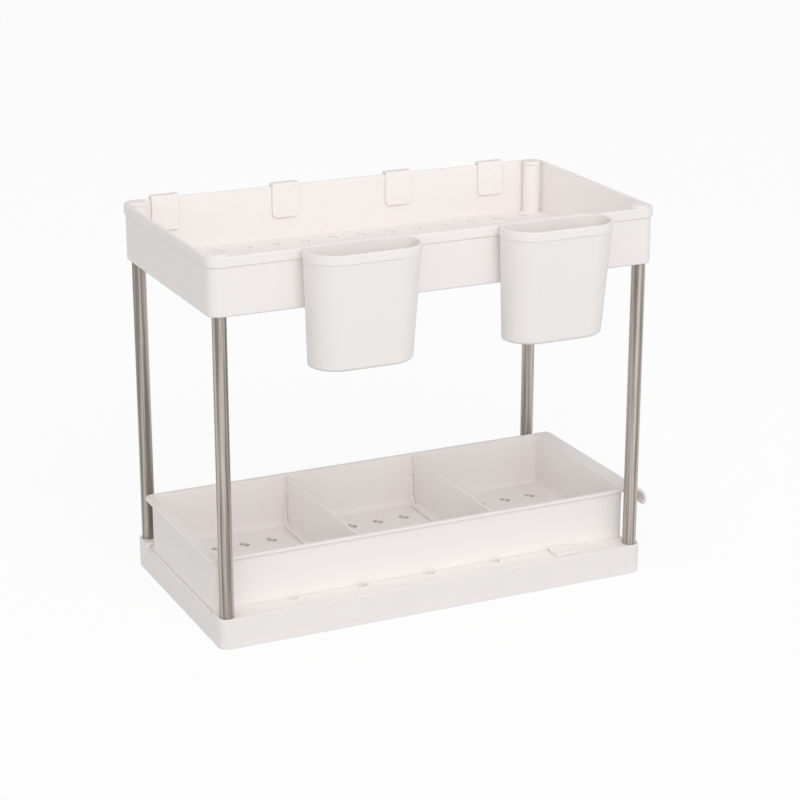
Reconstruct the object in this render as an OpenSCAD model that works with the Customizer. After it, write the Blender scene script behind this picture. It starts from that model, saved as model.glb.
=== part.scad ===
// Two-tier under sink organizer: a tray on four tubes over a base with a pull-out drawer.
// Millimetres, +Z up, +X towards the drawer's handle, -Y the front with the hanging cups.
// The origin is the middle of the base's footprint, on the surface that it stands on.

/* [Overall] */
// Length of the base, left to right
base_length = 407; // [360:1:460]
// Width of the base, front to back
base_width = 215; // [200:1:260]
// Height of the upper tray's rim above the floor
rim_height = 340; // [300:1:400]

/* [Base] */
// Height of the base's top flange above the floor
base_height = 27; // [24:0.5:36]
// Radius of the base's vertical corners, which the legs stand in
base_corner = 8.5; // [8.5:0.5:12]
// Thickness of the base's side walls
base_wall = 2.5; // [1.8:0.1:3.5]
// Least room between a runner's channel and the leg sockets beside it
channel_room = 1; // [0.5:0.1:4]
// Thickness of the flange that covers the drawer's runners
flange_thick = 2.5; // [1.6:0.1:3.5]
// Thickness of the deck that the drawer slides on
deck_thick = 2.5; // [1.6:0.1:4]
// Depth of the deck's middle below the rails under the runners
deck_recess = 3.5; // [1:0.5:6]
// Width of the rails that are left round that recess
rail_width = 11; // [6:0.5:20]
// Height of the left end wall and its ledge above the deck
end_lip = 1.2; // [0.8:0.1:2.8]
// Thickness of the stiffening ribs under the deck
rib_thick = 1.8; // [1.2:0.1:2.6]
// Wanted spacing of the stiffening ribs
rib_pitch = 41; // [30:1:42]
// Radius of the half-round notches in the front flange
notch_radius = 5; // [3:0.5:5]
// Spacing of the half-round notches
notch_pitch = 65; // [50:1:70]

/* [Legs] */
// Outer diameter of a leg tube
tube_diameter = 12.2; // [10:0.1:12.6]
// Wall of a leg tube
tube_wall = 0.8; // [0.5:0.1:1.2]
// Wall of the sockets and columns round the tubes
socket_wall = 1.8; // [1.4:0.1:1.9]
// How far the web behind a column reaches round its tube's axis
column_web = 3; // [0:0.5:5]
// Thickness of a socket's floor
socket_floor = 3; // [2:0.5:5]
// Radial clearance of a tube in its sockets
tube_fit = 0.08; // [0.05:0.01:0.1]

/* [Upper tray] */
// Outer height of the upper tray
tray_height = 50.3; // [40:0.1:70]
// How far the tray's body stands out past the base at each end
tray_overhang = 2; // [0.5:0.1:4]
// Thickness of the tray's body walls
tray_wall = 2; // [1.6:0.1:2.2]
// Thickness of the tray's floor
tray_floor = 2.3; // [1.6:0.1:3.5]
// Height of the thicker band round the tray's rim
rim_band = 8.6; // [5:0.1:14]
// How far the rim band stands out from the tray's body
rim_step = 1.25; // [0.6:0.05:2]
// Distance of the last drain slots from the tray's end walls
tray_slot_end = 22; // [18:0.5:40]
// Distance of the outer rows of slots from the tray's side walls
tray_slot_side = 19; // [19:0.5:50]

/* [Corner caps] */
// How far a corner cap reaches past the column under it
cap_lap = 0.6; // [0.3:0.1:2]
// Thickness of a corner cap
cap_thick = 3; // [2:0.1:4]
// How far a cap stands above the rim
cap_rise = 1; // [0:0.1:2]
// Length of the plug under a cap
cap_plug = 12; // [6:0.5:20]

/* [Drawer] */
// Room beside each end of the drawer, which a ledge of the base's left end wall partly fills
end_gap = 3.4; // [2:0.1:10]
// How far the drawer's floor stands out past its left wall
floor_step = 1; // [0:0.1:1.5]
// Height of the drawer's rim above the floor
drawer_rim = 73.2; // [60:0.1:110]
// Thickness of the drawer's walls
drawer_wall = 2; // [1.6:0.1:3]
// Thickness of the drawer's floor and runners
drawer_floor = 2.4; // [1.6:0.1:2.6]
// Radius of the drawer's outer vertical corners
drawer_corner = 7; // [7:0.5:14]
// Radius between the drawer's walls and floor
drawer_fillet = 6; // [3:0.5:6]
// Width of the runners that slide under the base's flanges
runner_width = 5.5; // [4:0.1:5.5]
// Height of the lip round the drawer's rim
lip_height = 2.5; // [1.6:0.1:4]
// Overhang of the lip along the front and back
lip_side = 2.2; // [1:0.1:4]
// Overhang of the lip at the left end
lip_end = 6; // [2:0.1:8]
// How far the handle reaches past the drawer's right wall
handle_reach = 22.9; // [19:0.1:28]
// Outer radius of the handle's upper bend
handle_bend = 13.5; // [8:0.1:15]
// Outer radius of the handle's rolled lower edge
handle_roll = 4.2; // [4.2:0.1:6]
// Travel of the drawer from closed to its stop
drawer_travel = 250; // [150:1:250]
// Distance of the last drain slots from the drawer's end walls
drawer_slot_end = 22; // [16:0.5:40]
// Distance of the outer rows of slots from the drawer's side walls
drawer_slot_side = 30.5; // [20:0.5:60]

/* [Drain slots] */
// Radius of a slot's two bends, to the middle of the slot
slot_bend = 1.9; // [1.6:0.1:2.6]
// Width of a drain slot
slot_width = 3.1; // [1.2:0.1:3.1]
// Turn of a slot from the front-to-back direction
slot_turn = 31; // [0:1:90]
// Number of drain slots in a row
slot_count = 14; // [2:2:16]

/* [Dividers] */
// Distance from the drawer's middle to each divider
divider_offset = 65; // [40:1:90]
// Thickness of a divider
divider_thick = 2; // [1.5:0.1:3]
// Height of a divider's top below the drawer's rim
divider_drop = 1.7; // [0.5:0.1:10]
// Width of a divider's foot
foot_width = 14; // [8:0.5:20]
// Thickness of a divider's foot
foot_thick = 2.2; // [1.2:0.1:3]
// Cut of a divider's lower corners
divider_cut = 7; // [6:0.5:12]
// Width of the ribs that hold a divider
guide_width = 3; // [2:0.1:4]
// Depth of the ribs that hold a divider
guide_depth = 1.6; // [1:0.1:3]
// Height of the ribs above the drawer's floor
guide_height = 28; // [10:1:36]

/* [Drawer stop] */
// Distance of the stop from the base's right end
stop_inset = 73.5; // [55:0.5:95]
// Length of the stop's plate
stop_length = 23; // [16:0.5:30]
// Width of the stop's plate
stop_width = 18; // [12:0.5:20]
// Thickness of the stop's plate
stop_thick = 1.5; // [1:0.1:3]
// Corner radius of the stop's plate
stop_corner = 3.6; // [2.2:0.1:5]
// Height of the foot under the stop's plate
stop_foot = 1.2; // [0.5:0.1:2]
// Diameter of the stop's peg
peg_diameter = 3; // [2:0.1:3]

/* [Hooks] */
// Width of a hook's plates
hook_width = 25.5; // [18:0.5:34]
// Thickness of a hook
hook_thick = 2.3; // [1.6:0.1:3]
// Height of a hook's inner plate below the rim
hook_inner = 29; // [18:0.5:34]
// Height of a hook's outer plate below the rim
hook_outer = 24; // [14:0.5:30]
// Corner radius of a hook's plates
hook_corner = 4.5; // [2:0.5:8]
// Width of the curled part of a hook
curl_width = 12; // [8:0.5:16]
// Distance of the first hook from the tray's left end
hook_left = 38.5; // [34:0.5:60]
// Distance of the last hook from the tray's right end
hook_right = 51.5; // [34:0.5:60]
// Distance of the second hook left of the middle
hook_second = 53; // [30:1:80]
// Distance of the third hook right of the middle
hook_third = 59; // [30:1:80]
// Width of the shallow groove down a hook's inner plate
groove_width = 2.4; // [1:0.1:4]
// Depth of that groove
groove_depth = 0.2; // [0.2:0.1:0.8]
// Length of that groove below the rim
groove_length = 19; // [8:0.5:24]
// Inner radius of a hook's curl
curl_radius = 6.5; // [4:0.5:10]
// Height of the tip above the bottom of a hook's curl
curl_tip = 12; // [7:0.5:16]

/* [Cups] */
// Width of a cup at its rim
cup_width = 101; // [70:1:120]
// Depth of a cup at its rim, front to back
cup_depth = 42; // [36:0.5:60]
// Height of a cup
cup_height = 99.5; // [60:0.5:130]
// Narrowing of a cup on each side
cup_taper = 4.5; // [1:0.5:7]
// Set-back of a cup's front at the bottom
cup_rake = 8.5; // [2:0.5:9]
// Thickness of a cup's walls
cup_wall = 1.6; // [1.2:0.1:2.4]
// Radius of a cup's front corners
cup_front = 25; // [12:0.5:25]
// Radius of a cup's back corners
cup_back = 12; // [6:0.5:12]
// Height of the band round a cup's rim
cup_band = 8; // [4:0.5:14]
// How far the band stands out from a cup's body
cup_step = 0.7; // [0.4:0.1:1.5]
// Distance of the left cup's middle from the tray's left end
cup_left = 125.5; // [70:0.5:126]
// Distance of the right cup's middle from the tray's right end
cup_right = 107.5; // [70:0.5:126]
// Rounding of a cup's bottom edge
cup_foot = 3; // [1:0.5:5]
// Distance of the hanging lip's ends from a cup's rounded back corners
hanger_inset = 0.5; // [0.5:0.5:16]
// Thickness of the hanging lip
hanger_thick = 1.2; // [1:0.1:2]
// Depth of the hanging lip inside the tray
hanger_drop = 10; // [6:0.5:20]

/* [Hidden] */
$fn = 64;
// Room between pieces that rest on or slide past one another
rest_gap = 0.3;
// Room above the runners and beside the drawer's walls
slide_gap = 0.5;
// Room between a corner cap and the tray's walls
cap_gap = 0.15;
// Depth by which cuts run past the faces they open
over = 1;

plastic = [0.93, 0.90, 0.89];
steel = [0.70, 0.69, 0.67];

flange_bottom = base_height - flange_thick;
runner_top = flange_bottom - slide_gap;
floor_bottom = runner_top - drawer_floor;
deck_top = floor_bottom - rest_gap;
deck_bottom = deck_top - deck_thick;
inner_length = base_length - 2 * base_wall;
inner_width = base_width - 2 * base_wall;
end_wall = base_wall + end_gap - floor_step - rest_gap;

tube_radius = tube_diameter / 2;
bore_radius = tube_radius + tube_fit;
boss_radius = bore_radius + socket_wall;
leg_x = base_length / 2 - base_corner;
leg_y = base_width / 2 - base_corner;
channel_half = leg_y - boss_radius - channel_room;
bay_half = channel_half - runner_width;
recess_half = bay_half - rail_width;
recess_length = inner_length - 2 * rail_width;
drawer_width = 2 * bay_half - 2 * slide_gap;
runner_half = channel_half - slide_gap;

tray_length = base_length + 2 * tray_overhang;
tray_width = base_width;
tray_corner = base_corner + tray_overhang;
tray_bottom = rim_height - tray_height;
tray_top = tray_bottom + tray_floor;
rim_length = tray_length + 2 * rim_step;
rim_width = tray_width + 2 * rim_step;
well_length = tray_length - 2 * tray_wall;
well_width = tray_width - 2 * tray_wall;

cap_top = rim_height + cap_rise;
cap_bottom = cap_top - cap_thick;
column_top = cap_bottom - rest_gap;
tube_top = column_top - socket_wall;

drawer_length = base_length - 2 * base_wall - 2 * end_gap;
drawer_right = drawer_length / 2;
floor_top = floor_bottom + drawer_floor;
room_half = drawer_width / 2 - drawer_wall;
divider_base = floor_top + rest_gap;
divider_top = drawer_rim - divider_drop;

peg_radius = peg_diameter / 2;
stop_x = base_length / 2 - stop_inset;
peg_y = -channel_half + peg_radius + tube_fit;
runner_cut = -peg_y - peg_radius - slide_gap;
shoulder = stop_x - peg_radius - rest_gap - drawer_travel;

rim_back = rim_width / 2;
rim_front = -rim_width / 2;
well_back = well_width / 2;
hook_places = [-tray_length / 2 + hook_left, -hook_second, hook_third, tray_length / 2 - hook_right];

// Flat rounded rectangle with its middle at the origin
module outline(length, width, corner) {
    square([length - 2 * corner, width], center = true);
    square([length, width - 2 * corner], center = true);
    for (x = [-1, 1], y = [-1, 1])
        translate([x * (length / 2 - corner), y * (width / 2 - corner)])
            circle(corner);
}

// Rounded slab standing on its own bottom face
module slab(length, width, corner, height) {
    linear_extrude(height)
        outline(length, width, corner);
}

// Box with its middle at the origin in X and Y, from one height to another
module block(length, width, low, high) {
    translate([-length / 2, -width / 2, low])
        cube([length, width, high - low]);
}

// Repeats a piece at the four legs
module at_legs() {
    for (x = [-1, 1], y = [-1, 1])
        translate([x * leg_x, y * leg_y, 0])
            children();
}

// Half of an S-shaped slot: three quarters of a ring
module slot_half() {
    translate([0, slot_bend])
        difference() {
            circle(slot_bend + slot_width / 2);
            circle(slot_bend - slot_width / 2);
            translate([0, -slot_bend - slot_width])
                square([2 * slot_bend + slot_width, slot_bend + slot_width]);
        }
}

// Three rows of S-shaped drain slots, cut down through a floor
module drain_slots(row_length, row, low, high) {
    pitch = row_length / (slot_count - 1);
    for (column = [0 : slot_count - 1], side = [-1, 0, 1], turn = [0, 180])
        translate([column * pitch - row_length / 2, side * row, low])
            rotate(slot_turn + turn)
                linear_extrude(high - low)
                    slot_half();
}

// Stiffening ribs under the base's deck
module base_ribs() {
    across = floor(inner_length / 2 / rib_pitch);
    along = floor(inner_width / 2 / rib_pitch);
    for (step = [-across : across])
        translate([step * rib_pitch, 0, 0])
            block(rib_thick, inner_width, 0, deck_bottom + deck_thick / 2);
    for (step = [-along : along])
        translate([0, step * rib_pitch, 0])
            block(inner_length, rib_thick, 0, deck_bottom + deck_thick / 2);
}

// Base with its deck, the channels for the drawer's runners and the leg sockets
module base_tray() {
    color(plastic)
        difference() {
            union() {
                difference() {
                    slab(base_length, base_width, base_corner, base_height);
                    translate([0, 0, -over])
                        slab(inner_length, inner_width, base_corner - base_wall, deck_bottom + over);
                    for (side = [-1, 1])
                        translate([0, side * (channel_half + base_wall + inner_width / 2) / 2, 0])
                            block(inner_length - 2 * base_corner, inner_width / 2 - channel_half - base_wall,
                                -over, flange_bottom);
                }
                base_ribs();
                block(recess_length + 2 * deck_thick, 2 * recess_half + 2 * deck_thick,
                    deck_bottom - deck_recess, deck_bottom + deck_thick / 2);
                at_legs()
                    cylinder(h = flange_bottom, r = boss_radius);
            }
            translate([(end_wall + over) / 2, 0, 0])
                block(base_length - end_wall + over, 2 * channel_half, deck_top, flange_bottom);
            translate([(end_wall + over) / 2, 0, 0])
                block(base_length - end_wall + over, 2 * bay_half, deck_top, base_height + over);
            block(base_length + 2 * over, 2 * bay_half, deck_top + end_lip, base_height + over);
            block(recess_length, 2 * recess_half, deck_top - deck_recess, deck_top + over);
            at_legs()
                translate([0, 0, socket_floor])
                    cylinder(h = base_height, r = bore_radius);
            for (step = [-2 : 1])
                translate([step * notch_pitch, -bay_half, flange_bottom - over])
                    cylinder(h = flange_thick + 2 * over, r = notch_radius);
            translate([stop_x, peg_y, flange_bottom - over])
                cylinder(h = flange_thick + 2 * over, r = peg_radius + tube_fit);
        }
}

// Leg tube, from its socket in the base up into the tray's column
module leg(x, y) {
    color(steel)
        translate([x * leg_x, y * leg_y, socket_floor])
            difference() {
                cylinder(h = tube_top - socket_floor, r = tube_radius);
                translate([0, 0, -over])
                    cylinder(h = tube_top - socket_floor + 2 * over, r = tube_radius - tube_wall);
            }
}

// Column round one tube, joined to the tray's corner behind it
module tray_column() {
    cylinder(h = column_top - tray_bottom, r = boss_radius);
    translate([-column_web, -column_web, 0])
        cube([
            column_web + tray_length / 2 - leg_x,
            column_web + tray_width / 2 - leg_y,
            column_top - tray_bottom
        ]);
}

// Upper tray with its rim band, drained floor and corner columns
module upper_tray() {
    color(plastic)
        difference() {
            union() {
                difference() {
                    union() {
                        translate([0, 0, tray_bottom])
                            slab(tray_length, tray_width, tray_corner, tray_height);
                        translate([0, 0, rim_height - rim_band])
                            slab(rim_length, rim_width, tray_corner + rim_step, rim_band);
                    }
                    translate([0, 0, tray_top])
                        slab(well_length, well_width, tray_corner - tray_wall, tray_height);
                }
                intersection() {
                    translate([0, 0, tray_bottom])
                        slab(tray_length - tray_wall, tray_width - tray_wall, tray_corner - tray_wall / 2,
                            column_top - tray_bottom);
                    for (x = [0, 1], y = [0, 1])
                        mirror([x, 0, 0])
                            mirror([0, y, 0])
                                translate([leg_x, leg_y, tray_bottom])
                                    tray_column();
                }
            }
            at_legs()
                translate([0, 0, tray_bottom - over])
                    cylinder(h = tray_height + 2 * over, r = bore_radius);
            drain_slots(well_length - 2 * tray_slot_end, well_width / 2 - tray_slot_side,
                tray_bottom - over, tray_top + over);
        }
}

// Corner cap: a plate over the column with a plug that enters the tube
module corner_cap(x, y) {
    reach_x = well_length / 2 - cap_gap - leg_x;
    reach_y = well_width / 2 - cap_gap - leg_y;
    span = 2 * tray_corner;
    color(plastic)
        mirror([x < 0 ? 1 : 0, 0, 0])
            mirror([0, y < 0 ? 1 : 0, 0])
                translate([leg_x, leg_y, cap_bottom]) {
                    linear_extrude(cap_thick)
                        intersection() {
                            union() {
                                circle(boss_radius + cap_lap);
                                square([reach_x, reach_y]);
                            }
                            translate([reach_x - span, reach_y - span])
                                outline(2 * span, 2 * span, tray_corner - tray_wall - cap_gap);
                        }
                    translate([0, 0, -cap_plug])
                        cylinder(h = cap_plug + cap_thick / 2, r = tube_radius - tube_wall - tube_fit);
                }
}

// Inside of the drawer, rounded where the walls meet the floor
module drawer_room() {
    length = drawer_length - 2 * drawer_wall;
    width = 2 * room_half;
    height = drawer_rim - floor_top;
    intersection() {
        translate([0, 0, floor_top])
            slab(length, width, drawer_corner - drawer_wall, height + over);
        translate([-length / 2, 0, floor_top + height])
            rotate([90, 0, 90])
                linear_extrude(length)
                    outline(width, 2 * height, drawer_fillet);
        translate([0, width / 2, floor_top + height])
            rotate([90, 0, 0])
                linear_extrude(width)
                    outline(length, 2 * height, drawer_fillet);
    }
}

// Quarter of a ring round the origin, from the top to the outer side
module quarter_ring(outer, thick) {
    difference() {
        circle(outer);
        circle(outer - thick);
        translate([-outer - over, -outer - over])
            square([outer + over, 2 * outer + 2 * over]);
        translate([-over, -outer - over])
            square([outer + 2 * over, outer + over]);
    }
}

// Pull handle: the right-hand lip carried out, bent down and rolled in at its edge
module drawer_handle() {
    tip = drawer_right + handle_reach;
    bend_x = tip - handle_bend;
    bend_z = drawer_rim - handle_bend;
    width = drawer_width + 2 * lip_side;
    translate([0, width / 2, 0])
        rotate([90, 0, 0])
            linear_extrude(width) {
                translate([drawer_right - drawer_wall / 2, drawer_rim - lip_height])
                    square([bend_x - drawer_right + drawer_wall / 2, lip_height]);
                translate([bend_x, bend_z])
                    quarter_ring(handle_bend, lip_height);
                translate([tip - handle_roll, bend_z])
                    mirror([0, 1])
                        quarter_ring(handle_roll, lip_height);
            }
}

// Pair of ribs at each wall that hold one divider and follow its cut corners
module divider_guides() {
    offset_x = divider_thick / 2 + rest_gap;
    rib_face = room_half - guide_depth;
    for (x = [0, 1], y = [0, 1])
        mirror([x, 0, 0])
            mirror([0, y, 0])
                translate([offset_x, 0, 0])
                    rotate([90, 0, 90])
                        linear_extrude(guide_width)
                            polygon([
                                [rib_face - divider_cut, floor_top - drawer_floor / 2],
                                [rib_face - divider_cut, floor_top],
                                [rib_face, floor_top + divider_cut],
                                [rib_face, floor_top + guide_height],
                                [room_half + drawer_wall / 2, floor_top + guide_height],
                                [room_half + drawer_wall / 2, floor_top - drawer_floor / 2]
                            ]);
}

// Pull-out drawer with its runners, lip, handle and divider ribs
module drawer() {
    color(plastic)
        difference() {
            union() {
                difference() {
                    union() {
                        translate([-floor_step / 2, 0, 0])
                            block(drawer_length + floor_step, 2 * runner_half, floor_bottom, floor_top);
                        translate([0, 0, floor_bottom])
                            slab(drawer_length, drawer_width, drawer_corner, drawer_rim - floor_bottom);
                        translate([lip_side / 2 - lip_end / 2, 0, drawer_rim - lip_height])
                            slab(drawer_length + lip_end + lip_side, drawer_width + 2 * lip_side,
                                drawer_corner + lip_side, lip_height);
                        drawer_handle();
                    }
                    drawer_room();
                }
                for (side = [-1, 1])
                    translate([side * divider_offset, 0, 0])
                        divider_guides();
            }
            translate([shoulder, -runner_half - over, floor_bottom - over])
                cube([drawer_length, runner_half + over - runner_cut, drawer_floor + 2 * over]);
            drain_slots(drawer_length - 2 * drawer_wall - 2 * drawer_slot_end, room_half - drawer_slot_side,
                floor_bottom - over, floor_top + over);
        }
}

// Lift-out divider on a wide foot, its lower corners cut to clear the drawer's fillets
module divider(side) {
    half = room_half - slide_gap;
    foot_half = half - divider_cut - guide_depth;
    color(plastic)
        translate([side * divider_offset, 0, divider_base]) {
            rotate([90, 0, 90])
                translate([0, 0, -divider_thick / 2])
                    linear_extrude(divider_thick)
                        polygon([
                            [divider_cut - half, 0],
                            [half - divider_cut, 0],
                            [half, divider_cut],
                            [half, divider_top - divider_base],
                            [-half, divider_top - divider_base],
                            [-half, divider_cut]
                        ]);
            block(foot_width, 2 * foot_half, 0, foot_thick);
        }
}

// Stop on the front flange: a plate on a smaller foot, its peg standing in the runner's path
module drawer_stop() {
    plate_bottom = base_height + stop_foot;
    color(plastic) {
        translate([stop_x, -bay_half - stop_width / 2, base_height]) {
            slab(stop_length - 2 * stop_foot, stop_width - 2 * stop_foot, stop_corner - stop_foot, stop_foot);
            translate([0, 0, stop_foot])
                slab(stop_length, stop_width, stop_corner, stop_thick);
        }
        translate([stop_x, peg_y, deck_top + rest_gap])
            cylinder(h = plate_bottom + stop_thick / 2 - deck_top - rest_gap, r = peg_radius);
    }
}

// Upright plate with rounded lower corners, its top edge at the origin's height
module hook_plate(depth) {
    rotate([90, 0, 0])
        linear_extrude(hook_thick)
            union() {
                translate([-hook_width / 2, -depth + hook_corner])
                    square([hook_width, depth - hook_corner]);
                translate([-hook_width / 2 + hook_corner, -depth])
                    square([hook_width - 2 * hook_corner, 2 * hook_corner]);
                for (x = [-1, 1])
                    translate([x * (hook_width / 2 - hook_corner), -depth + hook_corner])
                        circle(hook_corner);
            }
}

// Hook that straddles the back rim, with a flat plate inside and a curl outside
module hook(place) {
    inside = well_back - rest_gap;
    outside = rim_back + rest_gap;
    bridge = rim_height + rest_gap;
    curl_y = outside + hook_thick + curl_radius;
    curl_z = rim_height - hook_outer - curl_radius;
    color(plastic)
        translate([place, 0, 0]) {
            difference() {
                translate([0, inside, bridge + hook_thick])
                    hook_plate(hook_inner + hook_thick + rest_gap);
                translate([0, inside - hook_thick - over, rim_height - groove_length])
                    cube([groove_width, groove_depth + over, groove_length]);
            }
            translate([0, outside + hook_thick, bridge + hook_thick])
                hook_plate(hook_outer + hook_thick + rest_gap);
            translate([-hook_width / 2, inside - hook_thick, bridge])
                cube([hook_width, outside - inside + 2 * hook_thick, hook_thick]);
            translate([-curl_width / 2, outside, curl_z])
                cube([curl_width, hook_thick, hook_outer]);
            translate([-curl_width / 2, curl_y, curl_z])
                rotate([90, 0, 90])
                    linear_extrude(curl_width)
                        difference() {
                            circle(curl_radius + hook_thick);
                            circle(curl_radius);
                            translate([-curl_radius - hook_thick - over, 0])
                                square([2 * (curl_radius + hook_thick + over), curl_radius + hook_thick + over]);
                        }
            translate([-curl_width / 2, curl_y + curl_radius, curl_z])
                cube([curl_width, hook_thick, curl_tip - curl_radius]);
        }
}

// A cup's plan: its back edge on the X axis, its front towards -Y
module cup_plan(width, depth, front, back) {
    difference() {
        translate([-width / 2, -depth])
            square([width, depth]);
        for (x = [0, 1])
            mirror([x, 0]) {
                translate([-width / 2, -depth])
                    difference() {
                        translate([-over, -over])
                            square(front + over);
                        translate([front, front])
                            circle(front);
                    }
                translate([-width / 2, 0])
                    difference() {
                        translate([-over, -back])
                            square(back + over);
                        translate([back, -back])
                            circle(back);
                    }
            }
    }
}

// Tapered body of a cup, drawn in by an inset on every side
module cup_body(inset, low, high) {
    grown = inset + cup_taper;
    hull() {
        translate([0, -inset, high])
            linear_extrude(over)
                cup_plan(cup_width - 2 * inset - 2 * cup_step, cup_depth - 2 * inset - cup_step,
                    cup_front - inset, cup_back - inset);
        translate([0, -inset, low + cup_foot])
            linear_extrude(over)
                cup_plan(cup_width - 2 * grown, cup_depth - 2 * inset - cup_rake,
                    cup_front - inset, cup_back - inset);
        translate([0, -inset - cup_foot, low])
            linear_extrude(over)
                cup_plan(cup_width - 2 * grown - 2 * cup_foot, cup_depth - 2 * inset - cup_rake - 2 * cup_foot,
                    cup_front - inset - cup_foot, cup_back - inset - cup_foot / 2);
    }
}

// Cup that hangs on the front rim by a lip
module cup(place) {
    back = rim_front - rest_gap;
    top = rim_height + rest_gap + hanger_thick;
    low = top - cup_height;
    hanger_y = -well_back + rest_gap;
    hanger_width = cup_width - 2 * (cup_back + hanger_inset);
    color(plastic)
        translate([place, 0, 0]) {
            difference() {
                union() {
                    translate([0, back, 0])
                        cup_body(0, low, top - cup_band);
                    translate([0, back, top - cup_band])
                        linear_extrude(cup_band)
                            cup_plan(cup_width, cup_depth, cup_front, cup_back);
                }
                translate([0, back, 0])
                    cup_body(cup_wall, low + cup_wall, top - cup_band - over / 2);
                translate([0, back - cup_wall, top - cup_band])
                    linear_extrude(cup_band + over)
                        cup_plan(cup_width - 2 * cup_wall - 2 * cup_step, cup_depth - 2 * cup_wall - cup_step,
                            cup_front - cup_wall, cup_back - cup_wall);
            }
            translate([-hanger_width / 2, back - cup_wall / 2, top - hanger_thick])
                cube([hanger_width, hanger_y - back + cup_wall / 2 + hanger_thick, hanger_thick]);
            translate([-hanger_width / 2, hanger_y, rim_height - hanger_drop])
                cube([hanger_width, hanger_thick, hanger_drop + rest_gap + hanger_thick]);
        }
}

base_tray();
leg(-1, -1);  // leg_front_left
leg(1, -1);  // leg_front_right
leg(-1, 1);  // leg_back_left
leg(1, 1);  // leg_back_right
upper_tray();
corner_cap(-1, -1);  // cap_front_left
corner_cap(1, -1);  // cap_front_right
corner_cap(-1, 1);  // cap_back_left
corner_cap(1, 1);  // cap_back_right
drawer();
divider(-1);  // divider_left
divider(1);  // divider_right
drawer_stop();
hook(hook_places[0]);  // hook_1
hook(hook_places[1]);  // hook_2
hook(hook_places[2]);  // hook_3
hook(hook_places[3]);  // hook_4
cup(cup_left - tray_length / 2);
cup(tray_length / 2 - cup_right);
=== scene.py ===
"""Under sink organizer: moulded pieces, finishes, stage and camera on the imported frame."""
import math

import bmesh
import bpy
from bpy.props import FloatProperty, FloatVectorProperty, IntProperty, PointerProperty
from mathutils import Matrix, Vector


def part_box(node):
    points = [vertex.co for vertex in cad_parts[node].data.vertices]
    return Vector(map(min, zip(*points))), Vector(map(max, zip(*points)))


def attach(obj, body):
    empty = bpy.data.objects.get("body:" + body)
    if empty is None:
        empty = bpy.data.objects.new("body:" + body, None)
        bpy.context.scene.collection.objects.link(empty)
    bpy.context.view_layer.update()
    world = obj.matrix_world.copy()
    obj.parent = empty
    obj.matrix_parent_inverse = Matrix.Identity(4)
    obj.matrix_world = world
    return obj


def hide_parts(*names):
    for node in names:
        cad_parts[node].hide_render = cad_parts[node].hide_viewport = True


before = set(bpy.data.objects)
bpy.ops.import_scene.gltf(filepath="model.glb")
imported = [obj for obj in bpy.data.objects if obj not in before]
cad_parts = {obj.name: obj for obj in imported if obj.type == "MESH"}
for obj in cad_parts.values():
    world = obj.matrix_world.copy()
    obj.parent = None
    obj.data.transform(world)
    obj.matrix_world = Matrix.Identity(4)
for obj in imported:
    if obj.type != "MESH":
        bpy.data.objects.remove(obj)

bl_info = {
    "name": "Under Sink Organizer",
    "version": (1, 1, 0),
    "blender": (4, 5, 0),
    "location": "View3D > Sidebar > Organizer",
    "description": "Models and dresses the two-tier under sink organizer and sets its studio stage",
    "category": "Object",
}

MM = 0.001
CORNERS = ("front_left", "front_right", "back_left", "back_right")
HOOKS = ("hook_1", "hook_2", "hook_3", "hook_4")
CUPS = ("cup_left", "cup_right")
DIVIDERS = ("divider_left", "divider_right")
# A sharp edge turns by more than this
SHARP = math.radians(30)
# Room, in millimetres, within which a place counts as on a face
NEAR = 0.05


class Wire:
    """A shader socket on which sums are written as plain Python expressions."""

    def __init__(self, tree, socket):
        self.tree = tree
        self.socket = socket

    def _math(self, operation, *values):
        return add_node(self.tree, "ShaderNodeMath", {"operation": operation}, dict(enumerate(values)))

    def __add__(self, other):
        return self._math("ADD", self, other)

    __radd__ = __add__

    def __sub__(self, other):
        return self._math("SUBTRACT", self, other)

    def __rsub__(self, other):
        return self._math("SUBTRACT", other, self)

    def __mul__(self, other):
        return self._math("MULTIPLY", self, other)

    __rmul__ = __mul__


def add_node(tree, kind, settings, values, output=0):
    """Adds a node, sets it up, feeds its sockets and returns one output as a Wire."""
    made = tree.nodes.new(kind)
    for name, value in settings.items():
        setattr(made, name, value)
    for name, value in values.items():
        if isinstance(value, Wire):
            tree.links.new(value.socket, made.inputs[name])
        else:
            made.inputs[name].default_value = value
    return Wire(tree, made.outputs[output])


def new_material(name):
    """A material with one Principled shader: returns the material, its tree and the shader."""
    material = bpy.data.materials.new(name)
    material.use_nodes = True
    tree = material.node_tree
    tree.nodes.clear()
    shader = tree.nodes.new("ShaderNodeBsdfPrincipled")
    output = tree.nodes.new("ShaderNodeOutputMaterial")
    tree.links.new(shader.outputs[0], output.inputs[0])
    return material, tree, shader


def feed(tree, shader, name, value):
    """Feeds one socket of the shader with a Wire or a plain value."""
    if isinstance(value, Wire):
        tree.links.new(value.socket, shader.inputs[name])
    else:
        shader.inputs[name].default_value = value


def noise(tree, place, size, detail):
    """Noise whose blots have about the given size, in metres."""
    values = {"Vector": place, "Scale": 1 / size, "Detail": detail}
    return add_node(tree, "ShaderNodeTexNoise", {}, values)


def tinted(tree, share, colour, depth):
    """A colour that goes from a little darker to a little lighter with a share."""
    base = Vector(colour)
    values = {"Factor": share, 6: (*(base * (1 - depth)), 1), 7: (*(base * (1 + depth)), 1)}
    return add_node(tree, "ShaderNodeMix", {"data_type": "RGBA"}, values, 2)


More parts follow.
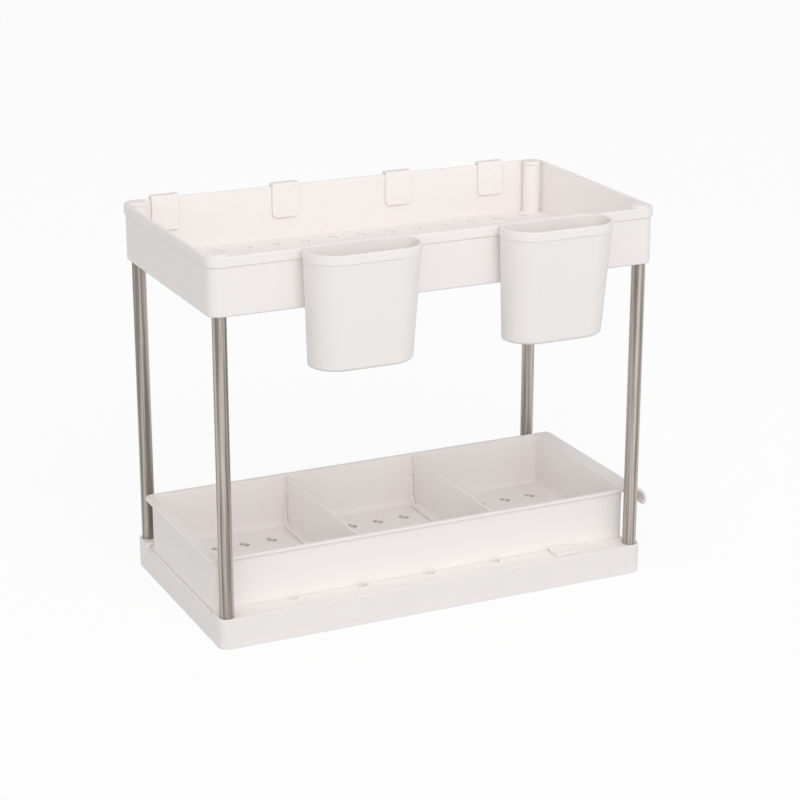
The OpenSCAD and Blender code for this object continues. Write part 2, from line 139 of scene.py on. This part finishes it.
def moulded_plastic(finish):
    """Matt moulded plastic: spark-eroded grain over faint flow waves, with an uneven sheen."""
    material, tree, shader = new_material("moulded_plastic")
    place = add_node(tree, "ShaderNodeTexCoord", {}, {}, "Object")
    cloud = noise(tree, place, finish.flow_size, 2.0)
    grain = noise(tree, place, finish.grain_size, 3.0)
    feed(tree, shader, "Base Color", tinted(tree, cloud, finish.colour, finish.mottle))
    feed(tree, shader, "Roughness", finish.roughness + (grain - 0.5) * 0.14 + (cloud - 0.5) * 0.08)
    waves = add_node(
        tree, "ShaderNodeBump", {}, {"Height": cloud, "Strength": 0.4, "Distance": finish.flow_depth}
    )
    relief = add_node(
        tree,
        "ShaderNodeBump",
        {},
        {"Height": grain, "Strength": 0.4, "Distance": finish.grain_depth, "Normal": waves},
    )
    feed(tree, shader, "Normal", relief)
    shader.inputs["IOR"].default_value = 1.49
    return material


def brushed_steel(finish):
    """Satin stainless tube with lengthwise bands, its highlights drawn out along the tube."""
    material, tree, shader = new_material("brushed_steel")
    place = add_node(tree, "ShaderNodeTexCoord", {}, {}, "Object")
    along = add_node(
        tree, "ShaderNodeMapping", {}, {"Vector": place, "Scale": (1.0, 1.0, finish.brush_stretch)}
    )
    fine = noise(tree, along, finish.brush_pitch, 4.0)
    broad = noise(tree, along, finish.band_pitch, 1.0)
    streaks = fine * 0.35 + broad * 0.65
    bands = (streaks - 0.5) * finish.band_gain + 0.5
    feed(tree, shader, "Base Color", tinted(tree, bands, finish.colour, finish.contrast))
    feed(tree, shader, "Roughness", finish.roughness + (streaks - 0.5) * 0.3)
    shader.inputs["Anisotropic"].default_value = finish.spread
    shader.inputs["Anisotropic Rotation"].default_value = 0.25
    relief = add_node(
        tree, "ShaderNodeBump", {}, {"Height": streaks, "Strength": 0.5, "Distance": finish.brush_depth}
    )
    feed(tree, shader, "Normal", relief)
    shader.inputs["Metallic"].default_value = 1.0
    return material


def length(name, description, default):
    """A size that a user may change, given in millimetres and kept in metres."""
    return FloatProperty(name=name, description=description, unit="LENGTH", default=default * MM, min=0)


def colour(name, description, default):
    """A colour that a user may change."""
    return FloatVectorProperty(
        name=name, description=description, subtype="COLOR", size=3, min=0, max=1, default=default
    )


class EdgeRounding(bpy.types.PropertyGroup):
    """How far the mould rounds the edges."""

    rim: length("Rim", "Rounding of the upper tray's rim", 0.9)
    foot: length("Foot", "Rounding under the upper tray's body", 1.6)
    plate: length("Plate", "Rounding of hooks, caps, dividers, lip and flanges", 0.6)
    fine: length("Fine", "Rounding of the thinnest edges", 0.3)
    corner: length("Corner", "Outer radius of the upper tray's rim at its corners", 11.75)
    segments: IntProperty(name="Segments", description="Faces across a rounding", default=3, min=1)


class TubeShape(bpy.types.PropertyGroup):
    """Sizes of the leg tubes that their packed box doesn't give."""

    wall: length("Wall", "Thickness of a tube's wall", 0.8)
    facets: IntProperty(name="Facets", description="Faces round a tube", default=96, min=24)


class CupShape(bpy.types.PropertyGroup):
    """Sizes of the hanging cups that their packed box doesn't give."""

    depth: length("Depth", "Depth at the rim, front to back", 42)
    taper: length("Taper", "Narrowing on each side", 4.5)
    rake: length("Rake", "Set-back of the front at the bottom", 8.5)
    front: length("Front Corners", "Radius of the front corners", 25)
    back: length("Back Corners", "Radius of the back corners", 12)
    wall: length("Wall", "Thickness of the walls", 1.6)
    band: length("Band", "Height of the rim's band", 8)
    step: length("Step", "How far the band stands out from the body", 0.7)
    foot: length("Foot", "Rounding of the bottom edge", 3)
    lip_width: length("Lip Width", "Width of the hanging lip", 76)
    lip_thick: length("Lip Thickness", "Thickness of the hanging lip", 1.2)
    lip_drop: length("Lip Drop", "Height of the hanging lip inside the tray", 11.5)


class PlasticFinish(bpy.types.PropertyGroup):
    """The moulded plastic of the trays, drawer, cups and hooks."""

    colour: colour("Colour", "Warm white of the plastic", (0.945, 0.907, 0.892))
    mottle: FloatProperty(
        name="Mottle", description="Faint unevenness of the colour", subtype="FACTOR", default=0.012
    )
    roughness: FloatProperty(
        name="Roughness", description="Dullness of the surface", subtype="FACTOR", default=0.46
    )
    grain_size: length("Grain Size", "Size of the mould's grain", 0.6)
    grain_depth: length("Grain Depth", "Depth of the mould's grain", 0.02)
    flow_size: length("Flow Size", "Size of the faint waves of the flow", 60)
    flow_depth: length("Flow Depth", "Depth of the faint waves of the flow", 0.15)


class SteelFinish(bpy.types.PropertyGroup):
    """The brushed steel of the four tubes."""

    colour: colour("Colour", "Tint of the steel", (0.415, 0.375, 0.338))
    contrast: FloatProperty(
        name="Contrast", description="Difference between the bands", subtype="FACTOR", default=0.42
    )
    band_gain: FloatProperty(name="Band Gain", description="Crispness of the bands' edges", default=7)
    roughness: FloatProperty(
        name="Roughness", description="Dullness of the steel", subtype="FACTOR", default=0.4
    )
    spread: FloatProperty(
        name="Spread",
        description="How far highlights are drawn out along a tube",
        subtype="FACTOR",
        default=0.8,
    )
    brush_pitch: length("Brush Pitch", "Spacing of the fine brush lines", 0.6)
    band_pitch: length("Band Pitch", "Spacing of the broad lengthwise bands", 3)
    brush_stretch: FloatProperty(
        name="Brush Stretch",
        description="Share by which the lines are drawn out",
        subtype="FACTOR",
        default=0.01,
    )
    brush_depth: length("Brush Depth", "Depth of the brush lines", 0.02)


class StageSettings(bpy.types.PropertyGroup):
    """Floor, lights and camera."""

    floor_size: length("Floor Size", "Side of the floor", 24000)
    floor_colour: colour("Floor Colour", "Pale colour of the floor", (0.96, 0.96, 0.96))
    floor_bounce: colour("Floor Bounce", "Colour of the light that the floor throws up", (0.6, 0.6, 0.6))
    floor_white: FloatProperty(
        name="Floor White",
        description="How much of the floor's own white the camera sees over its shading",
        subtype="FACTOR",
        default=0.9,
    )
    surround: FloatProperty(
        name="Surround",
        description="White that the camera sees behind the floor, like the floor's own",
        subtype="FACTOR",
        default=0.965,
    )
    ambient: FloatProperty(name="Ambient", description="Strength of the light from the front", default=1.24)
    dimming: FloatProperty(
        name="Dimming",
        description="Share of that light that is missing behind the object",
        subtype="FACTOR",
        default=0.4,
    )
    overhead: FloatProperty(
        name="Overhead",
        description="Share of that light that is missing straight above",
        subtype="FACTOR",
        default=0.52,
    )
    key: FloatProperty(name="Key", description="Power of the lamp at the front", unit="POWER", default=18.5)
    key_place: FloatVectorProperty(
        name="Key Place",
        description="Where the lamp at the front hangs",
        subtype="TRANSLATION",
        size=3,
        default=(-0.26, -1.88, 1.95),
    )
    key_size: length("Key Size", "Side of the lamp at the front", 1500)
    eye: FloatVectorProperty(
        name="Eye",
        description="Where the camera stands",
        subtype="TRANSLATION",
        size=3,
        default=(-0.8015, -1.7314, 0.7961),
    )
    turn: FloatProperty(
        name="Turn", description="Camera's turn from +Y towards +X", subtype="ANGLE", default=0.4392
    )
    pitch: FloatProperty(
        name="Pitch", description="Camera's angle below the horizon", subtype="ANGLE", default=0.3214
    )
    focal: FloatProperty(name="Focal Length", description="Lens on a 36 mm sensor, in mm", default=101.4)


def finished(name, maker, settings):
    """The named material, made once."""
    return bpy.data.materials.get(name) or maker(settings)


def plastic(context):
    return finished("moulded_plastic", moulded_plastic, context.scene.organizer_plastic)


def steel(context):
    return finished("brushed_steel", brushed_steel, context.scene.organizer_steel)


def packed_box(node):
    """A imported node's lowest and highest corners in millimetres."""
    low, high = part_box(node)
    return Vector(low) / MM, Vector(high) / MM


def merged(node):
    """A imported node's shape with its loose triangles joined and its flat faces made whole."""
    shape = bmesh.new()
    shape.from_mesh(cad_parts[node].data)
    bmesh.ops.remove_doubles(shape, verts=shape.verts, dist=0.002 * MM)
    bmesh.ops.dissolve_limit(shape, angle_limit=math.radians(0.5), verts=shape.verts, edges=shape.edges)
    return shape


def soften(shape, radius, segments, chosen, kept=None):
    """Rounds the sharp edges with both ends chosen, but for those with both ends kept."""
    edges = []
    for edge in shape.edges:
        ends = [vert.co / MM for vert in edge.verts]
        if kept and all(kept(end) for end in ends):
            continue
        if edge.is_manifold and edge.calc_face_angle(0) > SHARP and all(chosen(end) for end in ends):
            edges.append(edge)
    bmesh.ops.bevel(
        shape,
        geom=edges,
        offset=radius,
        offset_type="OFFSET",
        affect="EDGES",
        segments=segments,
        profile=0.5,
        material=-1,
        clamp_overlap=False,
    )


def reach_out(at, half_x, half_y):
    """How far outside a box round the origin a place lies, seen from above."""
    return math.hypot(max(abs(at.x) - half_x, 0), max(abs(at.y) - half_y, 0))


def place_piece(name, shape, node, body, material):
    """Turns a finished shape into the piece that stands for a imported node."""
    for face in shape.faces:
        face.smooth = True
    for edge in shape.edges:
        edge.smooth = not edge.is_manifold or edge.calc_face_angle(0) < SHARP
    mesh = bpy.data.meshes.new(name)
    shape.to_mesh(mesh)
    shape.free()
    mesh.materials.clear()
    mesh.materials.append(material)
    piece = bpy.data.objects.new(name, mesh)
    bpy.context.scene.collection.objects.link(piece)
    even = piece.modifiers.new("even_normals", "WEIGHTED_NORMAL")
    even.keep_sharp = True
    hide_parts(node)
    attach(piece, body)
    return piece


class ORGANIZER_OT_base(bpy.types.Operator):
    """Make the base and the drawer stop with their moulded edges."""

    bl_idname = "organizer.base"
    bl_label = "Base"

    def execute(self, context):
        edges = context.scene.organizer_edges
        base = merged("base_tray")
        low, high = packed_box("base_tray")
        leg_low, leg_high = packed_box("leg_back_right")
        leg = (leg_low + leg_high) / 2
        skirt = high.x - leg.x - NEAR
        soften(
            base,
            edges.plate,
            edges.segments,
            lambda at: at.z < NEAR and reach_out(at, leg.x, leg.y) > skirt,
        )
        soften(base, edges.plate, edges.segments, lambda at: at.z > high.z - NEAR)
        soften(
            base,
            edges.fine,
            edges.segments,
            lambda at: at.x < -leg.x and abs(at.y) < leg.y - 10 and high.z - 6 < at.z < high.z - 3,
        )
        place_piece("base", base, "base_tray", "stand", plastic(context))
        stop = merged("drawer_stop")
        soften(stop, edges.fine, edges.segments, lambda at: at.z > high.z + 1)
        place_piece("stop", stop, "drawer_stop", "stand", plastic(context))
        return {"FINISHED"}


def make_tube(node, tube, ease):
    """A steel tube: its wall's section, with eased ends, spun round its axis."""
    low, high = map(Vector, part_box(node))
    middle = (low + high) / 2
    outer = (high.x - low.x) / 2
    inner = outer - tube.wall
    section = [
        (outer, low.z + ease),
        (outer, high.z - ease),
        (outer - ease, high.z),
        (inner + ease, high.z),
        (inner, high.z - ease),
        (inner, low.z + ease),
        (inner + ease, low.z),
        (outer - ease, low.z),
    ]
    shape = bmesh.new()
    verts = [shape.verts.new((middle.x + reach, middle.y, height)) for reach, height in section]
    ring = [shape.edges.new((verts[step - 1], verts[step])) for step in range(len(verts))]
    bmesh.ops.spin(
        shape,
        geom=verts + ring,
        cent=middle,
        axis=(0, 0, 1),
        angle=math.tau,
        steps=tube.facets,
        use_merge=True,
    )
    bmesh.ops.remove_doubles(shape, verts=shape.verts, dist=0.001 * MM)
    bmesh.ops.recalc_face_normals(shape, faces=shape.faces)
    return shape


class ORGANIZER_OT_legs(bpy.types.Operator):
    """Make the four steel tubes."""

    bl_idname = "organizer.legs"
    bl_label = "Legs"

    def execute(self, context):
        scene = context.scene
        for corner in CORNERS:
            node = "leg_" + corner
            shape = make_tube(node, scene.organizer_tube, scene.organizer_edges.fine / 2)
            place_piece("tube_" + corner, shape, node, "stand", steel(context))
        return {"FINISHED"}


class ORGANIZER_OT_upper_tray(bpy.types.Operator):
    """Make the upper tray with its moulded rim band, and its corner caps."""

    bl_idname = "organizer.upper_tray"
    bl_label = "Upper Tray"

    def execute(self, context):
        edges = context.scene.organizer_edges
        tray = merged("upper_tray")
        low, high = packed_box("upper_tray")
        corner = edges.corner / MM
        half_x = high.x - corner
        half_y = high.y - corner
        soften(tray, edges.rim, edges.segments, lambda at: at.z > high.z - NEAR)
        soften(
            tray,
            edges.fine,
            edges.segments,
            lambda at: low.z + 5 < at.z < high.z - 5 and reach_out(at, half_x, half_y) > corner - NEAR,
        )
        soften(
            tray,
            edges.foot,
            edges.segments + 1,
            lambda at: at.z < low.z + NEAR and reach_out(at, half_x, half_y) > corner - 2,
        )
        place_piece("tray", tray, "upper_tray", "stand", plastic(context))
        for name in CORNERS:
            cap = merged("cap_" + name)
            top = packed_box("cap_" + name)[1].z
            soften(cap, edges.plate, edges.segments, lambda at: at.z > top - NEAR)
            place_piece("corner_" + name, cap, "cap_" + name, "stand", plastic(context))
        return {"FINISHED"}


class ORGANIZER_OT_drawer(bpy.types.Operator):
    """Make the drawer with its lip and rolled handle, and its dividers."""

    bl_idname = "organizer.drawer"
    bl_label = "Drawer"

    def execute(self, context):
        edges = context.scene.organizer_edges
        drawer = merged("drawer")
        low, high = packed_box("drawer")
        middle = (low.z + high.z) / 2
        soften(drawer, edges.plate, edges.segments, lambda at: at.z > middle)
        soften(drawer, edges.fine, edges.segments, lambda at: at.z < low.z + NEAR)
        place_piece("pull_out", drawer, "drawer", "drawer", plastic(context))
        for node in DIVIDERS:
            wall = merged(node)
            soften(wall, edges.plate, edges.segments, lambda at: True)
            place_piece("wall_" + node, wall, node, node, plastic(context))
        return {"FINISHED"}


class ORGANIZER_OT_hooks(bpy.types.Operator):
    """Make the four hooks."""

    bl_idname = "organizer.hooks"
    bl_label = "Hooks"

    def execute(self, context):
        edges = context.scene.organizer_edges
        for node in HOOKS:
            hook = merged(node)
            low, high = packed_box(node)
            middle = (low.x + high.x) / 2
            soften(
                hook,
                edges.plate,
                edges.segments,
                lambda at: True,
                lambda at: -NEAR < at.x - middle < 5 and at.y < low.y + 1 and at.z < high.z - 2,
            )
            place_piece("hanger_" + node, hook, node, node, plastic(context))
        return {"FINISHED"}


def plan_ring(shape, middle, back_y, height, size, radii, closed):
    """A ring at a height: a rounded rectangle, its back edge on a line and its front towards -Y."""
    made = bmesh.ops.create_grid(shape, x_segments=1, y_segments=1, size=0.5)["verts"]
    bmesh.ops.scale(shape, vec=(*size, 1), verts=made)
    bmesh.ops.translate(shape, vec=(middle, back_y - size[1] / 2, height), verts=made)
    ring = set(made)
    front = [vert for vert in made if vert.co.y < back_y - size[1] / 2]
    back = [vert for vert in made if vert not in front]
    for picked, radius, segments in ((front, radii[0], 18), (back, radii[1], 10)):
        rounded = bmesh.ops.bevel(
            shape,
            geom=picked,
            offset=radius,
            offset_type="OFFSET",
            affect="VERTICES",
            segments=segments,
            profile=0.5,
            material=-1,
            clamp_overlap=False,
        )
        ring = (ring - set(picked)) | set(rounded["verts"])
    rim = list({edge for vert in ring for edge in vert.link_edges})
    if not closed:
        faces = list({face for vert in ring for face in vert.link_faces})
        bmesh.ops.delete(shape, geom=faces, context="FACES_ONLY")
    return rim


def cup_section(low, high, cup, edges):
    """Heights and insets of a cup's wall, side and back, from its foot over its rim to its floor."""
    neck = high - cup.band
    crown = high - edges.fine / 8
    turns = [math.pi / 2 * step / 4 for step in range(5)]
    points = []
    for turn in turns:
        inset = cup.foot * (1 - math.sin(turn))
        points.append((low + cup.foot * (1 - math.cos(turn)), inset, inset))
    points.append((neck, 0, 0))
    points.append((neck + edges.fine / 4, -cup.step * 0.7, 0))
    points.append((neck + edges.fine, -cup.step, 0))
    thick = cup.wall + cup.step
    for turn in turns:
        reach = edges.plate * (1 - math.cos(turn))
        height = crown - edges.plate * (1 - math.sin(turn))
        points.append((height, reach - cup.step, reach * cup.wall / thick))
    for turn in turns:
        reach = edges.plate * math.sin(turn)
        height = crown - edges.plate * (1 - math.cos(turn))
        points.append((height, cup.wall - edges.plate + reach, cup.wall - edges.plate + reach))
    for turn in turns:
        inset = cup.wall + cup.foot * (1 - math.cos(turn))
        points.append((low + cup.wall + cup.foot * (1 - math.sin(turn)), inset, inset))
    return points


def make_cup(node, cup, edges):
    """A tapered cup, lofted in rings, with the lip that hangs it on the rim."""
    low, high = map(Vector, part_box(node))
    middle = (low.x + high.x) / 2
    back_y = low.y + cup.depth
    neck = high.z - cup.band
    shape = bmesh.new()
    rings = []
    points = cup_section(low.z, high.z, cup, edges)
    for height, inset, back_inset in points:
        share = min((height - low.z) / (neck - low.z), 1)
        side = cup.taper + (cup.step - cup.taper) * share + inset
        front = cup.rake + (cup.step - cup.rake) * share + inset
        size = (high.x - low.x - 2 * side, cup.depth - front - back_inset)
        radii = (cup.front - inset, cup.back - inset)
        closed = height in (points[0][0], points[-1][0])
        rings.append(plan_ring(shape, middle, back_y - back_inset, height, size, radii, closed))
    for below, above in zip(rings, rings[1:]):
        bmesh.ops.bridge_loops(shape, edges=below + above)
    add_lip(shape, middle, back_y - cup.wall / 2, high, cup, edges)
    bmesh.ops.recalc_face_normals(shape, faces=shape.faces)
    return shape


def add_lip(shape, middle, root_y, high, cup, edges):
    """The lip that reaches back over the tray's rim and down inside it."""
    section = [
        (root_y, high.z),
        (high.y, high.z),
        (high.y, high.z - cup.lip_drop),
        (high.y - cup.lip_thick, high.z - cup.lip_drop),
        (high.y - cup.lip_thick, high.z - cup.lip_thick),
        (root_y, high.z - cup.lip_thick),
    ]
    start = middle - cup.lip_width / 2
    verts = [shape.verts.new((start, y, z)) for y, z in section]
    face = shape.faces.new(verts)
    grown = bmesh.ops.extrude_face_region(shape, geom=[face])["geom"]
    moved = [item for item in grown if isinstance(item, bmesh.types.BMVert)]
    bmesh.ops.translate(shape, vec=(cup.lip_width, 0, 0), verts=moved)
    shape.normal_update()
    rim = {edge for vert in verts + moved for edge in vert.link_edges}
    bmesh.ops.bevel(
        shape,
        geom=list(rim),
        offset=edges.fine,
        offset_type="OFFSET",
        affect="EDGES",
        segments=edges.segments,
        profile=0.5,
        material=-1,
        clamp_overlap=False,
    )


class ORGANIZER_OT_cups(bpy.types.Operator):
    """Make the two hanging cups."""

    bl_idname = "organizer.cups"
    bl_label = "Cups"

    def execute(self, context):
        scene = context.scene
        for node in CUPS:
            shape = make_cup(node, scene.organizer_cup, scene.organizer_edges)
            place_piece("basket_" + node, shape, node, node, plastic(context))
        return {"FINISHED"}


def add_softbox(name, place, target, size, power):
    """A square area lamp that looks from a place at a target."""
    lamp = bpy.data.lights.new(name, "AREA")
    lamp.shape = "SQUARE"
    lamp.size = size
    lamp.energy = power
    made = bpy.data.objects.new(name, lamp)
    made.location = place
    made.rotation_euler = (Vector(target) - Vector(place)).to_track_quat("-Z", "Y").to_euler()
    bpy.context.scene.collection.objects.link(made)


def make_floor(stage):
    """A wide pale floor that the camera sees nearly white, with the object's soft shadow."""
    mesh = bpy.data.meshes.new("floor")
    shape = bmesh.new()
    bmesh.ops.create_grid(shape, x_segments=1, y_segments=1, size=stage.floor_size / 2)
    shape.to_mesh(mesh)
    shape.free()
    floor = bpy.data.objects.new("floor", mesh)
    bpy.context.scene.collection.objects.link(floor)
    material, tree, shader = new_material("floor")
    shader.inputs["Roughness"].default_value = 0.9
    shader.inputs["Specular IOR Level"].default_value = 0.0
    rays = tree.nodes.new("ShaderNodeLightPath")
    seen = Wire(tree, rays.outputs["Is Camera Ray"]) + Wire(tree, rays.outputs["Is Glossy Ray"])
    values = {"Factor": seen, 6: (*stage.floor_bounce, 1), 7: (*stage.floor_colour, 1)}
    feed(tree, shader, "Base Color", add_node(tree, "ShaderNodeMix", {"data_type": "RGBA"}, values, 2))
    white = tree.nodes.new("ShaderNodeEmission")
    mix = tree.nodes.new("ShaderNodeMixShader")
    output = next(node for node in tree.nodes if node.type == "OUTPUT_MATERIAL")
    tree.links.new((seen * stage.floor_white).socket, mix.inputs[0])
    tree.links.new(shader.outputs[0], mix.inputs[1])
    tree.links.new(white.outputs[0], mix.inputs[2])
    tree.links.new(mix.outputs[0], output.inputs[0])
    mesh.materials.append(material)


def make_world(stage):
    """A white surround for the camera, and a pale one for the rest that dims behind the object."""
    world = bpy.data.worlds.new("studio")
    bpy.context.scene.world = world
    world.use_nodes = True
    tree = world.node_tree
    tree.nodes.clear()
    rays = tree.nodes.new("ShaderNodeLightPath")
    aim = add_node(tree, "ShaderNodeTexCoord", {}, {}, "Generated")
    away = (math.sin(stage.turn), math.cos(stage.turn), 0)
    along = add_node(tree, "ShaderNodeVectorMath", {"operation": "DOT_PRODUCT"}, {0: aim, 1: away}, 1)
    ambient = tree.nodes.new("ShaderNodeBackground")
    ambient.inputs[0].default_value = (1.0, 0.995, 0.99, 1)
    rise = add_node(tree, "ShaderNodeVectorMath", {"operation": "DOT_PRODUCT"}, {0: aim, 1: (0, 0, 1)}, 1)
    around = (1 - (along + 1) * (stage.dimming / 2)) * stage.ambient
    level = around * (1 - rise * stage.overhead)
    tree.links.new(level.socket, ambient.inputs[1])
    seen = tree.nodes.new("ShaderNodeBackground")
    seen.inputs[0].default_value = (1, 1, 1, 1)
    seen.inputs[1].default_value = stage.surround
    mix = tree.nodes.new("ShaderNodeMixShader")
    output = tree.nodes.new("ShaderNodeOutputWorld")
    tree.links.new(rays.outputs["Is Camera Ray"], mix.inputs[0])
    tree.links.new(ambient.outputs[0], mix.inputs[1])
    tree.links.new(seen.outputs[0], mix.inputs[2])
    tree.links.new(mix.outputs[0], output.inputs[0])


def make_camera(stage):
    """The camera at the photograph's angle."""
    data = bpy.data.cameras.new("camera")
    data.sensor_width = 36
    data.lens = stage.focal
    camera = bpy.data.objects.new("camera", data)
    camera.location = stage.eye
    forward = Vector(
        (
            math.sin(stage.turn) * math.cos(stage.pitch),
            math.cos(stage.turn) * math.cos(stage.pitch),
            -math.sin(stage.pitch),
        )
    )
    camera.rotation_euler = forward.to_track_quat("-Z", "Y").to_euler()
    bpy.context.scene.collection.objects.link(camera)
    bpy.context.scene.camera = camera


class ORGANIZER_OT_stage(bpy.types.Operator):
    """Set the floor, the lights and the camera."""

    bl_idname = "organizer.stage"
    bl_label = "Stage"

    def execute(self, context):
        stage = context.scene.organizer_stage
        make_floor(stage)
        make_world(stage)
        middle = (0.0, 0.0, 0.17)
        add_softbox("key", stage.key_place, middle, stage.key_size, stage.key)
        make_camera(stage)
        context.scene.view_settings.view_transform = "Standard"
        return {"FINISHED"}


class ORGANIZER_PT_panel(bpy.types.Panel):
    """The organizer's pieces, in the sidebar."""

    bl_label = "Organizer"
    bl_space_type = "VIEW_3D"
    bl_region_type = "UI"
    bl_category = "Organizer"

    def draw(self, context):
        for kind in OPERATORS:
            self.layout.operator(kind.bl_idname)


GROUPS = {
    "organizer_edges": EdgeRounding,
    "organizer_tube": TubeShape,
    "organizer_cup": CupShape,
    "organizer_plastic": PlasticFinish,
    "organizer_steel": SteelFinish,
    "organizer_stage": StageSettings,
}
OPERATORS = (
    ORGANIZER_OT_base,
    ORGANIZER_OT_legs,
    ORGANIZER_OT_upper_tray,
    ORGANIZER_OT_drawer,
    ORGANIZER_OT_hooks,
    ORGANIZER_OT_cups,
    ORGANIZER_OT_stage,
)


def register():
    for kind in (*GROUPS.values(), *OPERATORS, ORGANIZER_PT_panel):
        bpy.utils.register_class(kind)
    for name, kind in GROUPS.items():
        setattr(bpy.types.Scene, name, PointerProperty(type=kind))


def unregister():
    for name in reversed(GROUPS):
        delattr(bpy.types.Scene, name)
    for kind in reversed((*GROUPS.values(), *OPERATORS, ORGANIZER_PT_panel)):
        bpy.utils.unregister_class(kind)


def main():
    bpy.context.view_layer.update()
    register()
    bpy.ops.organizer.base()
    bpy.ops.organizer.legs()
    bpy.ops.organizer.upper_tray()
    bpy.ops.organizer.drawer()
    bpy.ops.organizer.hooks()
    bpy.ops.organizer.cups()
    bpy.ops.organizer.stage()


if __name__ == "__main__":
    main()
